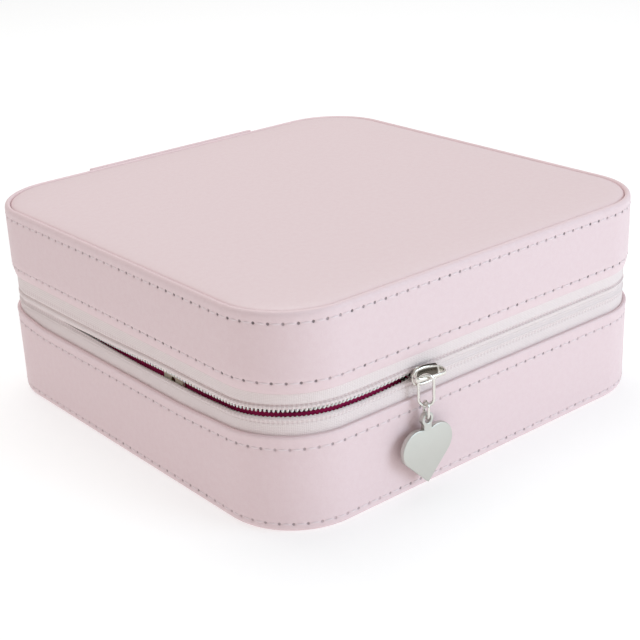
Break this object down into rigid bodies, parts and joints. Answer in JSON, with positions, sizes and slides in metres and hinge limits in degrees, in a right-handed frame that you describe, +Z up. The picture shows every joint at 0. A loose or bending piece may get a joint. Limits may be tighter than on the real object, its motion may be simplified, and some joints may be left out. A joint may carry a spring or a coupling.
{
  "type": "jewellery case",
  "caption": "Square zip-around leather jewellery case with a hinged padded lid, velvet inside, mirror, ring rolls, dividers and a slider with a heart charm.",
  "frame": {"origin": "middle of the resting face, on the table", "axes": "+Z up; the front with the slider faces -Y; the hinge spine is on +Y; +X is to the right seen from the front"},
  "size_m": [0.16, 0.1664, 0.0674],
  "materials": {
    "pink_leather": "fine-grained blush pink synthetic leather with a soft sheen",
    "padded_leather": "smooth blush pink synthetic leather stretched over foam",
    "card_board": "grey-brown board, hidden",
    "foam": "thin cream foam, hidden",
    "zip_tape": "ivory woven polyester tape",
    "zip_coil": "ivory nylon coil",
    "velvet": "deep fuchsia velvet",
    "tab_ribbon": "cream grosgrain ribbon",
    "eyelet_brass": "aged brass",
    "mirror": "silvered glass",
    "nickel": "polished pale nickel"
  },
  "bodies": {
    "base": {"base_bottom_cover": "pink_leather", "base_floor_board": "card_board", "base_wall_board": "card_board", "base_wall_cover": "pink_leather", "base_lining": "velvet", "base_floor_pad": "velvet", "divider_long": "velvet", "divider_back": "velvet", "divider_front": "velvet", "ring_platform": "velvet", "ring_roll_1": "velvet", "ring_roll_2": "velvet", "ring_roll_3": "velvet", "ring_roll_4": "velvet", "ring_roll_5": "velvet", "ring_roll_6": "velvet", "lower_zip_tape": "zip_tape", "lower_zip_coil": "zip_coil", "lower_zip_stops": "nickel", "spine_lower": "pink_leather", "gusset_lower": "velvet", "pull_tab": "tab_ribbon", "tab_eyelet": "eyelet_brass"},
    "lid": {"lid_wall_cover": "pink_leather", "lid_top_panel": "padded_leather", "lid_foam_pad": "foam", "lid_top_board": "card_board", "lid_wall_board": "card_board", "lid_lining": "velvet", "lid_top_lining": "velvet", "mirror_glass": "mirror", "mirror_frame": "pink_leather", "upper_zip_tape": "zip_tape", "upper_zip_coil": "zip_coil", "upper_zip_stops": "nickel", "spine_upper": "pink_leather", "gusset_upper": "velvet"},
    "slider": {"slider_body": "nickel", "slider_bridge": "nickel"},
    "pull_ring": {"pull_ring": "nickel"},
    "link": {"charm_link": "nickel"},
    "charm": {"charm": "nickel"}
  },
  "joints": [
    {"name": "lid_hinge", "type": "hinge", "parent": "base", "child": "lid", "pos_m": [0, 0.0812, 0.0362], "axis": [-1, 0, 0], "range_deg": [0, 105]},
    {"name": "slider_travel", "type": "slide", "parent": "base", "child": "slider", "axis": [1, 0, 0], "range_m": [-0.022, 0.075]},
    {"name": "ring_swing", "type": "hinge", "parent": "slider", "child": "pull_ring", "pos_m": [-0.0293, -0.0833, 0.0362], "axis": [-1, 0, 0], "range_deg": [0, 75]},
    {"name": "link_swing", "type": "hinge", "parent": "pull_ring", "child": "link", "pos_m": [-0.0293, -0.0833, 0.028], "axis": [-0.9397, 0.342, 0], "range_deg": [0, 55]},
    {"name": "charm_swing", "type": "hinge", "parent": "link", "child": "charm", "pos_m": [-0.0293, -0.0833, 0.0242], "axis": [0, -1, 0], "range_deg": [-30, 30]}
  ]
}
